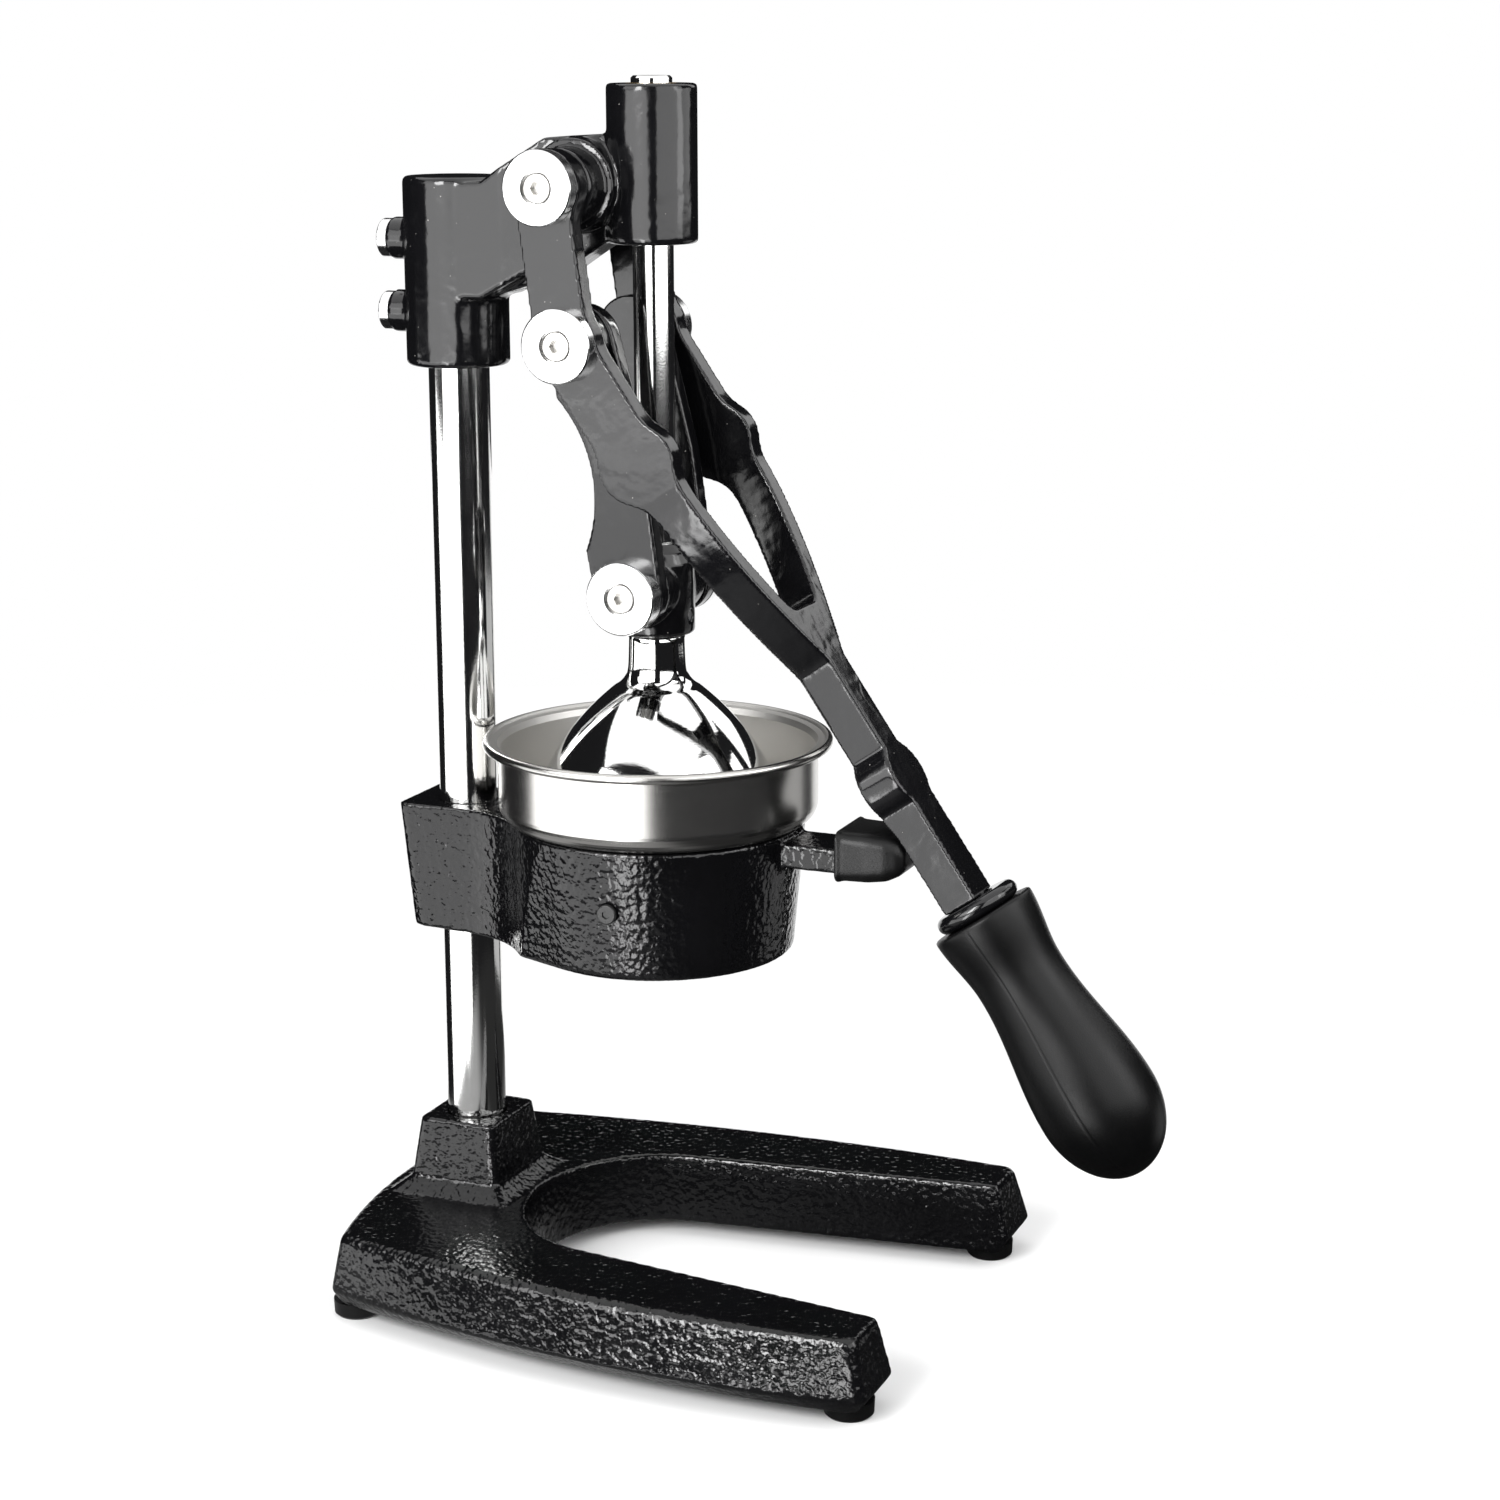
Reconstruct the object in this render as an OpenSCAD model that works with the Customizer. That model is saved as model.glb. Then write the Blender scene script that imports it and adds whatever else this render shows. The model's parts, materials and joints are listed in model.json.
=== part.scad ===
// Citrus press juicer: a forked hand lever drives a polished bell down into a strainer cup.
// +X points forward to the lever's grip, +Z is up, the floor is z = 0, and the object is
// symmetric about y = 0. The origin is on the floor under the middle of the bounding box.

/* [Base] */
// Width of the base at its widest line
base_width = 196.4; // [188:0.2:200]
// Distance from the column's axis to the tips of the legs
base_front = 193; // [188:1:200]
// Height of the base's top face
base_top = 32.3; // [30:0.1:36]
// Width between the legs at their tips
slot_width = 132; // [120:1:136]
// Height of the top of the column socket
socket_top = 60; // [54:1:70]
// Height of the rubber feet under the base
foot_height = 6; // [5:0.5:8]

/* [Column] */
// Diameter of the column
column_d = 22; // [20:0.5:22]
// Distance from the column's axis to the press rod's axis
reach = 77.5; // [77:0.1:78.5]

/* [Cup] */
// Outer diameter of the cup's rolled rim
rim_d = 126.8; // [122:0.2:128]
// Height of the cup's rim
rim_top = 212.9; // [208:0.1:216]
// Outer diameter of the cup's wall
cup_d = 116; // [112:1:116]

/* [Press] */
// Diameter of the press rod
rod_d = 14.4; // [13:0.2:14.6]
// Height of the top of the rod with the press closed
rod_top = 445.5; // [443:0.5:448]
// Outer diameter of the bell at its mouth
bell_d = 94.4; // [90:0.2:94.4]

/* [Lever] */
// Height of the lever's pivot
pivot_z = 408.8; // [408:0.1:410]
// Distance between the lever's pivot and its elbow pivot
crank = 53.3; // [52:0.1:54]
// Distance between the two pivots of a link
link_length = 89.8; // [89.4:0.1:90.4]
// Angle of the lever's bar below the horizontal with the press closed
bar_angle = 55.5; // [55:0.1:56]
// Width of the lever over its fork
fork_width = 77; // [76:0.5:80]

/* [Hidden] */
$fn = 96;
blend_fn = 32;          // facets of the rounds inside hulls
fit = 0.05;             // radial clearance of a shaft in its bore
gap = 0.3;              // space between faces that pass each other
eps = 0.01;             // a cut runs this far past its face

// Where the main axes stand
column_x = -119.6;
press_x = column_x + reach;
pivot_x = column_x + 54.2;
crank_lean = 6.4;       // the elbow hangs this many degrees in front of the pivot
elbow_x = pivot_x + crank * sin(crank_lean);
elbow_z = pivot_z - crank * cos(crank_lean);
foot_z = elbow_z - sqrt(link_length ^ 2 - (press_x - elbow_x) ^ 2);

// Base
base_bottom = foot_height;
base_waist = 11.8;      // height of the widest line
base_draft = 5;         // the top face is this much smaller than the widest line
base_back = 31;         // distance from the column's axis to the back edge
base_back_half = 76.3;  // half width at the back corners
socket_floor = 20;
foot_r = 8.9;
foot_spots = [[62, 75.8], [-136, 65.6]];

// Column and head
column_r = column_d / 2;
column_end = 404;
clamp_r = 18.6;
clamp_bottom = 343.5;
clamp_top = 410.5;
guide_r = 15.8;
guide_bottom = 388.5;
guide_top = 443;
bush_r = 9;
bush_h = 14;
web_half = 8.5;
plate_half = 16.5;
head_screw_z = [362, 388];
head_pad = 8;           // the two screws behind the clamp stand on pads of this length

// Sideways stack at the pivots, as distances from y = 0
arm_out = fork_width / 2;
arm_in = arm_out - 8.5;
link_in = 17.2;
link_out = link_in + 7.2;
cap_t = 5;
cap_r = 12.95;
foot_cap_t = 7;
shank_r = 5;
boss_out = arm_in - 1.5;

// Cup, holder and bell
holder_top = 182.5;
holder_bottom = 134.5;
holder_top_r = 53.5;
holder_bottom_r = 49.3;
holder_bore_r = 50;
block_x = column_x - 17.5;   // centre of the rounded corners behind the column
holder_ledge = 172;      // the juice funnel's flange lies at this height
tongue_z = [171, 180];
cup_floor = 176;
cup_wall = 1;
rim_bead = 1.7;
drain_holes = 8;        // holes in the cup's floor round the foot of the cone
drain_at = 46.4;        // their distance from the press axis
bell_mouth = 184;
neck_foot = 230.8;      // height where the bell's skirt runs into its neck
bell_bulge = 4.4;       // the skirt bulges this far beyond a plain cone
bell_wall = 2;
bell_ceiling = 228;     // the nut tightens against this face inside the bell
neck_r = 10.3;
crosshead_bottom = 250.8;
crosshead_r = 13.8;
rod_bottom = 219;

// Lever, measured along its bar from the elbow pivot
bar_half_h = 7.2;
bar_half_w = 6.7;
low_half_h = 6.6;       // the bar is lower and wider between the swelling and the grip
low_half_w = 9.1;
swell_r = 13;
bar_offset = 2.7;       // the bar's middle runs this far in front of the elbow
low_offset = bar_offset + bar_half_h - low_half_h;
knee_at = 48.3;
arm_bend_at = 62;
fork_end_at = 117.5;
bar_start_at = 137;
swell_at = 186;
collar_at = 236;
collar_t = 6.2;
grip_offset = 5.1;      // the grip's axis runs this far in front of the elbow
grip_at = collar_at + collar_t;
grip_length = 105.3;
tang_r = 4.5;
tang_end_at = 322;

// ---------------------------------------------------------------- helpers

// A copy on each side of the object
module both_sides() {
    children();
    mirror([0, 1, 0]) children();
}

// Children drawn with +Z as their axis are laid along +Y at the point [x, z]
module along_y(x, z) {
    translate([x, 0, z]) rotate([-90, 0, 0]) children();
}

// Children are placed on the press axis
module on_press() {
    translate([press_x, 0, 0]) children();
}

// Children drawn in the plane of x and z become a slab from y = -half to half
module slab(half) {
    rotate([90, 0, 0]) linear_extrude(2 * half, center = true) children();
}

// Upright post with its two ends chamfered
module chamfered_post(r, low, high, c) {
    rotate_extrude()
        polygon([[0, low], [r - c, low], [r, low + c], [r, high - c], [r - c, high], [0, high]]);
}

// Round disc with a rounded front edge, from z = 0 to t
module cap_disc(r, t, round_r) {
    rotate_extrude() {
        square([r - round_r, t]);
        square([r, t - round_r]);
        translate([r - round_r, t - round_r]) circle(round_r);
    }
}

// Socket screw along +Z with its head on top: shank from z = low to seat, head above seat
module socket_screw(shank, low, seat, head_r, head_h, hex_r) {
    difference() {
        union() {
            translate([0, 0, low]) cylinder(r = shank, h = seat - low);
            translate([0, 0, seat]) cap_disc(head_r, head_h, 0.6);
        }
        translate([0, 0, seat + head_h * 0.4]) cylinder(r = hex_r, h = head_h, $fn = 6);
    }
}

// Cap with a recess for a screw head, on the outside of a pivot, from z = 0 to t
module pivot_cap(t) {
    difference() {
        cap_disc(cap_r, t, 0.8);
        translate([0, 0, -eps]) cylinder(r = shank_r + fit, h = t);
        translate([0, 0, t - 4.2]) cylinder(r = 5.9, h = 5);
    }
}

// Screw of a pivot along +Z, with its head in the recess of a cap whose face is at z = face
module pivot_screw(low, face) {
    socket_screw(shank_r, low, face - 4.2, 5.2, 3.6, 2.4);
}

// Ring along +Z
module ring(inner, outer, low, high) {
    translate([0, 0, low]) difference() {
        cylinder(r = outer, h = high - low);
        translate([0, 0, -eps]) cylinder(r = inner, h = high - low + 2 * eps);
    }
}

// ---------------------------------------------------------------- base and column

// Height of a parabola over its chord at the fraction u of the way along
function bow(u, height) = 4 * height * u * (1 - u);

// Half outline of the base, drawn in by inset from its widest line
function base_half(inset) =
    let (back = column_x - base_back + inset * 0.25,
        corner = [back + 9.2 + inset * 0.35, base_back_half - inset * 0.6],
        tip = [column_x + base_front - inset, base_width / 2 - 6.6 - inset * 0.74])
    concat([for (u = [0 : 0.2 : 0.8]) [back + (corner[0] - back) * u ^ 2, corner[1] * u]],
        [for (u = [0 : 0.0625 : 1])
            corner + (tip - corner) * u + [0, bow(u, 12.7 - inset * 1.08)]],
        [[tip[0], 0]]);

// Outline of the base with its corners rounded
module base_outline(inset) {
    offset(r = 4, $fn = blend_fn) offset(delta = -4) {
        polygon(base_half(inset));
        mirror([0, 1]) polygon(base_half(inset));
    }
}

// Slot between the legs: an elliptical nose and straight sides, widened by grow
module slot_outline(grow) {
    nose_x = column_x + 72;
    nose = [for (a = [90 : 10 : 270]) [nose_x + (46 + grow) * cos(a), (50.5 + grow) * sin(a)]];
    tip_x = column_x + base_front + 20;
    tip = slot_width / 2 + 2.5 + grow;
    polygon(concat(nose, [[tip_x, -tip], [tip_x, tip]]));
}

module base() {
    socket_half = [[15.7, 17.5], [18.6, 20.6], [25, 27]];
    socket_z = [socket_top, base_top + 5, base_top];
    color([0.07, 0.07, 0.075]) difference() {
        union() {
            difference() {
                hull() {
                    translate([0, 0, base_bottom]) linear_extrude(0.1) base_outline(4);
                    translate([0, 0, base_waist]) linear_extrude(0.1) base_outline(0);
                    translate([0, 0, base_top - 2]) linear_extrude(0.1)
                        base_outline(base_draft - 0.4);
                    translate([0, 0, base_top - 0.1]) linear_extrude(0.1)
                        base_outline(base_draft + 1);
                }
                hull() {
                    translate([0, 0, base_bottom - 1]) linear_extrude(0.1) slot_outline(-3.5);
                    translate([0, 0, base_top + 1]) linear_extrude(0.1) slot_outline(0);
                }
            }
            for (i = [0 : 1]) hull() for (k = [i, i + 1])
                translate([column_x, 0, socket_z[k] - 0.1]) linear_extrude(0.1)
                    offset(r = 3, $fn = blend_fn)
                        square(2 * (socket_half[k] - [3, 3]), center = true);
        }
        translate([column_x, 0, socket_floor])
            cylinder(r = column_r + fit, h = socket_top);
        translate([column_x, 0, 0]) {
            cylinder(r = shank_r + fit, h = socket_floor + 1);
            cylinder(r = 12.5, h = 13);
        }
        foot_places() cylinder(r = 2.1, h = 20);
    }
}

// Children are placed at the four feet
module foot_places() {
    both_sides() for (p = foot_spots) translate([p[0], p[1], 0]) children();
}

module rubber_feet() {
    color([0.06, 0.06, 0.06]) foot_places() difference() {
        rotate_extrude() polygon([[0, 0], [foot_r - 1.2, 0], [foot_r - 0.2, 1],
            [foot_r, foot_height], [0, foot_height]]);
        translate([0, 0, -eps]) cylinder(r = 4.2, h = 3.5);
        cylinder(r = 2.1, h = 20);
    }
}

module foot_screws() {
    color([0.75, 0.75, 0.76]) foot_places() difference() {
        union() {
            translate([0, 0, 1]) cylinder(r = 4, h = 2.5 - eps);
            cylinder(r = 2, h = 18);
        }
        translate([0, 0, -eps]) cylinder(r = 1.6, h = 2.4, $fn = 6);
        translate([0, 0, -eps]) cylinder(r = 5, h = 1);
    }
}

module column() {
    color([0.82, 0.83, 0.84]) translate([column_x, 0, 0]) difference() {
        chamfered_post(column_r, socket_floor, column_end, 0.8);
        translate([0, 0, socket_floor - eps]) cylinder(r = shank_r + fit, h = 16);
    }
}

module column_bolt() {
    color([0.6, 0.6, 0.62]) translate([column_x, 0, base_bottom]) {
        cylinder(r = 8, h = 4.5, $fn = 6);
        cylinder(r = shank_r, h = 26);
    }
}

module column_washer() {
    color([0.6, 0.6, 0.62]) translate([column_x, 0, 0])
        ring(shank_r + fit, 11, base_bottom + 4.5, 13);
}

// ---------------------------------------------------------------- holder, cup and bumper

module cup_holder() {
    color([0.07, 0.07, 0.075]) difference() {
        union() {
            intersection() {
                hull() {
                    on_press() for (e = [[holder_bottom, holder_bottom_r - 1.5],
                            [holder_bottom + 1.5, holder_bottom_r], [holder_top - 1, holder_top_r],
                            [holder_top - 0.1, holder_top_r - 0.8]])
                        translate([0, 0, e[0]]) cylinder(r = e[1], h = 0.1, $fn = 72);
                    for (e = [[holder_bottom + 1, 13.5, 4.6], [holder_top - 0.1, 14.5, 0]])
                        both_sides() translate([block_x + e[2], e[1], e[0]])
                            cylinder(r = 3.5, h = 0.1, $fn = blend_fn);
                }
                linear_extrude(holder_top + 1) holder_plan();
            }
            tongue();
        }
        on_press() {
            translate([0, 0, holder_ledge]) cylinder(r = holder_bore_r, h = 40);
            translate([0, 0, holder_bottom - 1]) cylinder(r = 46, h = 40);
        }
        translate([column_x, 0, holder_bottom - 1]) cylinder(r = column_r + fit, h = 60);
        holder_screw_place() cylinder(r = 2.55, h = 20, center = true);
        clamp_screw_place() cylinder(r = 4 + fit, h = 20);
    }
}

// Plan of the holder: the bowl and the block round the column, joined by hollow rounds
module holder_plan() {
    offset(r = -40, $fn = 96) offset(r = 40, $fn = 96) {
        translate([press_x, 0]) circle(holder_top_r, $fn = 72);
        translate([block_x - 4, -18]) square([press_x - block_x, 36]);
    }
}

// Tongue at the front of the holder that carries the bumper
module tongue() {
    translate([press_x + 48, -11, tongue_z[0]]) cube([40, 22, tongue_z[1] - tongue_z[0]]);
}

// Children with +Z outward are placed at the screw in the side of the bowl
module holder_screw_place() {
    on_press() translate([0, 0, 160]) rotate([0, 0, -86]) translate([51.5, 0, 0])
        rotate([0, 90, 0]) children();
}

module holder_screw() {
    color([0.08, 0.08, 0.085]) holder_screw_place() difference() {
        union() {
            translate([0, 0, -2]) cylinder(r = 2.5, h = 3);
            translate([0, 0, 0.6]) cap_disc(3.5, 1.6, 0.5);
        }
        translate([0, 0, 1.4]) cylinder(r = 1.6, h = 2, $fn = 6);
    }
}

// Children with +Z backward are placed at the grub screw behind the column
module clamp_screw_place() {
    translate([column_x - column_r - 0.1, 0, 158]) rotate([0, -90, 0]) children();
}

module holder_clamp_screw() {
    color([0.2, 0.2, 0.2]) clamp_screw_place() difference() {
        cylinder(r = 4, h = 7);
        translate([0, 0, 4]) cylinder(r = 2.2, h = 4, $fn = 6);
    }
}

// Upright slice of the bumper at x, half wide to each side, with its corners rounded
module bumper_slice(x, half, low, high, r, t) {
    translate([x, 0, 0]) rotate([90, 0, 90]) linear_extrude(t) offset(r = r, $fn = blend_fn)
        translate([r - half, low + r]) square([2 * (half - r), high - low - 2 * r]);
}

// Rubber cap with a lip at its mouth, pushed over the end of the tongue
module bumper() {
    back = press_x + 73.5;
    tongue_end = press_x + 88;
    color([0.05, 0.05, 0.05]) difference() {
        union() {
            bumper_slice(back, 14.4, 168.2, 187.3, 4, 1.5);
            hull() {
                bumper_slice(back + 0.5, 13.8, 168.8, 186.7, 4, 0.5);
                bumper_slice(back + 11, 13.5, 168.8, 186.7, 5, 0.5);
                bumper_slice(back + 17.5, 12.5, 169.6, 186, 5, 0.5);
                bumper_slice(back + 22, 11, 171.8, 184, 4, 0.5);
                bumper_slice(back + 24.2, 9, 174.6, 181, 3, 0.5);
            }
        }
        translate([back - 1, -11, tongue_z[0]])
            cube([tongue_end - back + 1, 22, tongue_z[1] - tongue_z[0]]);
    }
}

module juice_funnel() {
    color([0.75, 0.76, 0.76]) on_press() rotate_extrude()
        polygon([[12, 136], [13, 136], [13, 140], [44, holder_ledge], [49.5, holder_ledge],
            [49.5, holder_ledge + 1], [43.6, holder_ledge + 1], [12, 140.6]]);
}

module strainer_cup() {
    wall_r = cup_d / 2;
    corner = 7;
    spigot_r = holder_bore_r - 0.3;
    flange_z = holder_top;
    bead_x = rim_d / 2 - rim_bead;
    bead_z = rim_top - rim_bead;
    inner_r = corner - cup_wall;
    outer_arc = [for (a = [0 : 10 : 90]) [wall_r - corner + corner * cos(a),
        flange_z + corner - corner * sin(a)]];
    inner_arc = [for (a = [90 : -10 : 0]) [wall_r - corner + inner_r * cos(a),
        flange_z + corner - inner_r * sin(a)]];
    bead_arc = [for (a = [155 : -15.5 : -155]) [bead_x + rim_bead * cos(a),
        bead_z + rim_bead * sin(a)]];
    color([0.78, 0.78, 0.77]) on_press() difference() {
        rotate_extrude() polygon(concat(
            bead_arc,
            [[wall_r + 0.6, bead_z - 1.6], [wall_r, bead_z - 2.6]],
            outer_arc,
            [[spigot_r, flange_z], [spigot_r, cup_floor], [0, cup_floor],
                [0, cup_floor + cup_wall], [spigot_r - cup_wall, cup_floor + cup_wall],
                [spigot_r - cup_wall, flange_z + cup_wall]],
            inner_arc,
            [[wall_r - cup_wall, bead_z - 2], [wall_r, bead_z + 0.2]]));
        for (i = [0 : drain_holes - 1]) rotate([0, 0, (i + 0.5) * 360 / drain_holes])
            translate([drain_at, 0, cup_floor - 1]) cylinder(r = 1.4, h = 3, $fn = 16);
    }
}

// Ribbed cone under the bell, standing on the cup's floor inside the ring of drain holes
module reamer_cone() {
    base_z = cup_floor + cup_wall;
    cone_r = 41.5;
    cone_h = 37;
    color([0.72, 0.72, 0.72]) on_press() {
        translate([0, 0, base_z]) rotate_extrude() polygon(concat([[0, 0], [44, 0], [44, 2]],
            [for (a = [4 : 8 : 84]) [cone_r * cos(a), cone_h * sin(a)]], [[0, cone_h]]));
        for (i = [0 : 7]) rotate([0, 0, i * 45 + 22.5]) slab(1.2)
            polygon(concat([[0, base_z + 1]],
                [for (a = [10 : 10 : 80]) [(cone_r + 1.8) * cos(a),
                    base_z + (cone_h + 1) * sin(a)]], [[0, base_z + cone_h]]));
    }
}

// ---------------------------------------------------------------- head

module head_bracket() {
    color([0.07, 0.07, 0.075]) difference() {
        union() {
            translate([column_x, 0, 0])
                chamfered_post(clamp_r, clamp_bottom, clamp_top, 1.2);
            on_press() chamfered_post(guide_r, guide_bottom, guide_top, 0.8);
            slab(web_half) offset(r = 2, $fn = blend_fn) offset(delta = -2) web_side(1.5);
            intersection() {
                slab(plate_half) web_side(0);
                linear_extrude(500) plate_plan();
            }
            both_sides() along_y(pivot_x, pivot_z) {
                cylinder(r = 16, h = plate_half + 0.5);
                chamfered_boss(13, boss_out);
            }
            for (z = head_screw_z) head_screw_place(z) cylinder(r = 7.6, h = head_pad);
        }
        translate([column_x, 0, clamp_bottom - 1])
            cylinder(r = column_r + fit, h = column_end - clamp_bottom + 1.5);
        on_press() {
            translate([0, 0, guide_bottom - 1]) cylinder(r = rod_d / 2 + 0.8, h = 60);
            for (z = [guide_bottom - 1, guide_top - bush_h])
                translate([0, 0, z]) cylinder(r = bush_r + fit, h = bush_h + 1);
        }
        both_sides() along_y(pivot_x, pivot_z)
            translate([0, 0, 12]) cylinder(r = shank_r + fit, h = 30);
        for (z = head_screw_z) head_screw_place(z)
            translate([0, 0, -8]) cylinder(r = 4 + fit, h = 20);
    }
}

// Boss that tapers slightly over its last millimetre
module chamfered_boss(r, h) {
    cylinder(r = r, h = h - 0.8);
    translate([0, 0, h - 0.8]) cylinder(r1 = r, r2 = r - 0.8, h = 0.8);
}

// Side view of the web between the clamp and the guide, with its lower edge dropped by drop
module web_side(drop) {
    polygon([[column_x, clamp_top - 2], [column_x + 18, clamp_top - 1.5],
        [pivot_x - 13, clamp_top + 14], [press_x - 8, clamp_top + 15.7],
        [press_x - 8, guide_bottom + 2], [pivot_x + 8, guide_bottom + 1.5 - drop],
        [column_x + 38 + drop * 4, guide_bottom - 9 - drop * 2],
        [column_x + 18, guide_bottom - 20], [column_x, guide_bottom - 20]]);
}

// Plan of the thick part of the web, which narrows towards the pivot
module plate_plan() {
    polygon([[column_x, -plate_half], [column_x + 26, -plate_half], [pivot_x - 4, -web_half],
        [pivot_x - 4, web_half], [column_x + 26, plate_half], [column_x, plate_half]]);
}

// Children with +Z backward are placed on the back of the clamp
module head_screw_place(z) {
    translate([column_x - 17, 0, z]) rotate([0, -90, 0]) children();
}

module head_screws() {
    color([0.75, 0.76, 0.77]) for (z = head_screw_z) head_screw_place(z)
        socket_screw(4, column_r - 17 + 0.1, head_pad, 7, 3.9, 3.2);
}

module guide_bush(low) {
    color([0.6, 0.5, 0.3]) on_press() ring(rod_d / 2 + fit, bush_r, low, low + bush_h);
}

module guide_bush_lower() {
    guide_bush(guide_bottom);
}

module guide_bush_upper() {
    guide_bush(guide_top - bush_h);
}

module lever_washers() {
    color([0.6, 0.5, 0.3]) both_sides() along_y(pivot_x, pivot_z)
        ring(shank_r + fit, 10.5, boss_out, arm_in - gap);
}

module lever_pivot_caps() {
    color([0.85, 0.86, 0.87]) both_sides() along_y(pivot_x, pivot_z)
        translate([0, 0, arm_out + gap]) pivot_cap(cap_t);
}

module lever_pivot_bolts() {
    color([0.8, 0.81, 0.82]) both_sides() along_y(pivot_x, pivot_z)
        pivot_screw(12.5, arm_out + gap + cap_t);
}

// ---------------------------------------------------------------- lever

// The lever's own frame: x runs down the bar from the elbow, z points away from the column
module lever_frame() {
    translate([elbow_x, 0, elbow_z]) rotate([0, bar_angle, 0]) children();
}

// The lever's pivot in that frame
pivot_along = -crank * cos(90 - bar_angle - crank_lean);
pivot_up = crank * sin(90 - bar_angle - crank_lean);

// Straight limb of a side view between two points, with half width w
module limb(from, to, w) {
    run = to - from;
    translate(from) rotate(atan2(run[1], run[0])) translate([0, -w]) square([norm(run), 2 * w]);
}

// Side view of the lever: three eyes joined by waisted limbs, then the bar
module lever_side() {
    pivot = [pivot_along, pivot_up];
    elbow = [0, 0];
    knee = [knee_at, 0];
    offset(r = -16, $fn = blend_fn) offset(r = 16, $fn = blend_fn) {
        translate(pivot) circle(13.2);
        translate(elbow) circle(12.9);
        translate(knee) circle(14.3);
        limb(pivot - [0.85, 1.24], elbow, 10);
        limb(elbow, knee, 10.5);
        limb([knee_at, bar_offset], [swell_at + swell_r, bar_offset], bar_half_h);
        limb([swell_at, low_offset], [collar_at, low_offset], low_half_h);
    }
}

// Half width of the fork at a distance along the bar, where it starts from the half width start
function fork_half(at, start) = start - 0.0306 * max(0, at - arm_bend_at) ^ 1.6;

// Plan of the fork, whose arms bend in towards the bar, and of the bar with its round swelling
module lever_plan() {
    back = pivot_along - 20;
    slot_end = fork_end_at - 5;
    outer = concat([[back, arm_out]],
        [for (at = [arm_bend_at : 5 : bar_start_at]) [at, fork_half(at, arm_out)]]);
    inner = concat([[back - 20, arm_in]],
        [for (at = [arm_bend_at : 5 : slot_end]) [at, fork_half(at, arm_in)]],
        [[fork_end_at, fork_half(slot_end, arm_in) - 3]]);
    difference() {
        offset(r = -8, $fn = blend_fn) offset(r = 8, $fn = blend_fn) {
            both_ways() polygon(concat(outer, [[bar_start_at, 0], [back, 0]]));
            translate([bar_start_at - 8, -bar_half_w]) square([30, 2 * bar_half_w]);
        }
        offset(r = 6, $fn = blend_fn) offset(delta = -6)
            both_ways() polygon(concat(inner, [[fork_end_at, 0], [back - 20, 0]]));
    }
    offset(r = -2, $fn = blend_fn) offset(r = 2, $fn = blend_fn) {
        translate([swell_at, 0]) circle(swell_r);
        translate([bar_start_at, -bar_half_w])
            square([swell_at - bar_start_at, 2 * bar_half_w]);
        translate([swell_at, -low_half_w]) square([collar_at - swell_at, 2 * low_half_w]);
    }
}

// A flat shape and its mirror image across the x axis
module both_ways() {
    children();
    mirror([0, 1]) children();
}

module lever() {
    color([0.07, 0.07, 0.075]) difference() {
        lever_frame() {
            intersection() {
                slab(arm_out + 10) lever_side();
                translate([0, 0, -60]) linear_extrude(120) lever_plan();
            }
            translate([collar_at - 1, 0, grip_offset]) rotate([0, 90, 0])
                cylinder(r = tang_r, h = tang_end_at - collar_at + 1);
        }
        both_sides() {
            along_y(pivot_x, pivot_z) translate([0, 0, arm_in - 5]) cylinder(r = 6.5, h = 20);
            along_y(elbow_x, elbow_z)
                translate([0, 0, arm_in - 5]) cylinder(r = shank_r + fit, h = 20);
        }
    }
}

module lever_bushes() {
    color([0.6, 0.5, 0.3]) both_sides() along_y(pivot_x, pivot_z)
        ring(shank_r + fit, 6.5 - fit, arm_in, arm_out);
}

// Children with +Z down the bar are placed on the grip's axis
module on_grip_axis(at) {
    lever_frame() translate([at, 0, grip_offset]) rotate([0, 90, 0]) children();
}

module grip_collar() {
    round_r = collar_t / 2;
    color([0.07, 0.07, 0.075]) on_grip_axis(collar_at) rotate_extrude() {
        translate([tang_r + fit, 0]) square([15.8 - round_r - tang_r - fit, collar_t]);
        translate([15.8 - round_r, round_r]) circle(round_r);
    }
}

// Pear-shaped grip: a lip, a waist, a swelling body and an elliptical end
module grip() {
    waist_r = 16.3;
    bulb_r = 21.8;
    bulb_at = 77;
    waist_at = 26;
    lip_h = 3;
    end_h = grip_length - bulb_at;
    lip = [for (t = [2 : 3 : 23]) [waist_r + lip_h / 2 * (1 + cos(180 * t / waist_at)), t]];
    body = [for (t = [waist_at : 5 : bulb_at - 1])
        [waist_r + (bulb_r - waist_r) / 2 * (1 - cos(180 * (t - waist_at) / (bulb_at - waist_at))),
            t]];
    end = [for (a = [0 : 8 : 88]) [bulb_r * cos(a), bulb_at + end_h * sin(a)]];
    color([0.05, 0.05, 0.05]) on_grip_axis(grip_at) difference() {
        rotate_extrude() polygon(concat([[0, 0], [waist_r + lip_h - 0.6, 0], [waist_r + lip_h, 0.6]],
            lip, body, end, [[0, grip_length]]));
        translate([0, 0, -1]) cylinder(r = tang_r + fit, h = tang_end_at - grip_at + 1.5);
    }
}

module elbow_caps() {
    color([0.85, 0.86, 0.87]) both_sides() along_y(elbow_x, elbow_z)
        translate([0, 0, arm_out]) pivot_cap(cap_t);
}

module elbow_bolts() {
    color([0.8, 0.81, 0.82]) both_sides() along_y(elbow_x, elbow_z)
        pivot_screw(link_in + 2.2, arm_out + cap_t);
}

module elbow_spacers() {
    color([0.07, 0.07, 0.075]) both_sides() along_y(elbow_x, elbow_z)
        ring(shank_r + fit, 11.8, link_out + gap, arm_in);
}

// ---------------------------------------------------------------- links

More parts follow.
